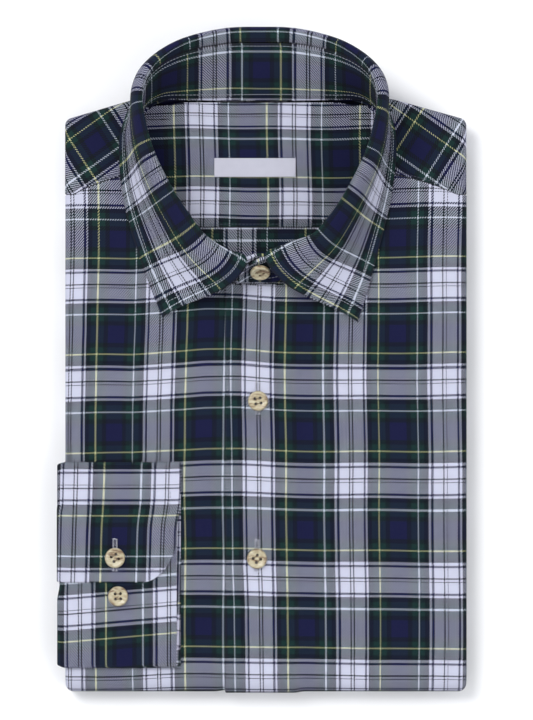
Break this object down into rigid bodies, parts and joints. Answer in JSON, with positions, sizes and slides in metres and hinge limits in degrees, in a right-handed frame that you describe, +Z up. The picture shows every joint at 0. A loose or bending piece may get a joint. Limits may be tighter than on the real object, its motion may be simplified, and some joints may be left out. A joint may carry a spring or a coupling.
{
  "type": "folded shirt",
  "caption": "Long-sleeved check flannel shirt with a buttoned collar, folded flat for a shelf with one cuff brought round onto the front.",
  "frame": {"origin": "on the underside, which rests on a flat surface, below the middle of the folded body", "axes": "+X to the wearer's left, +Y from the hem fold to the collar, +Z up from the surface"},
  "size_m": [0.236, 0.3824, 0.0568],
  "materials": {
    "flannel": "brushed cotton flannel in a 2/2 twill, woven in a tartan check of navy, bottle green, black and white with fine pale yellow and light blue lines",
    "hidden_cloth": "the same flannel, in the folded layers that are out of sight",
    "label": "blank woven satin ribbon",
    "horn": "horn-effect resin with a soft polish"
  },
  "bodies": {
    "root": {"folded_layers": "hidden_cloth", "left_front": "flannel", "right_front": "flannel", "yoke_outer": "flannel", "yoke_inner": "flannel", "back_panel": "flannel", "neck_label": "label", "collar_stand": "flannel", "collar_leaf": "flannel", "right_cuff": "flannel", "right_sleeve": "flannel", "button_front_1": "horn", "button_front_2": "horn", "button_cuff_1": "horn", "button_cuff_2": "horn", "button_collar": "horn"}
  },
  "joints": []
}
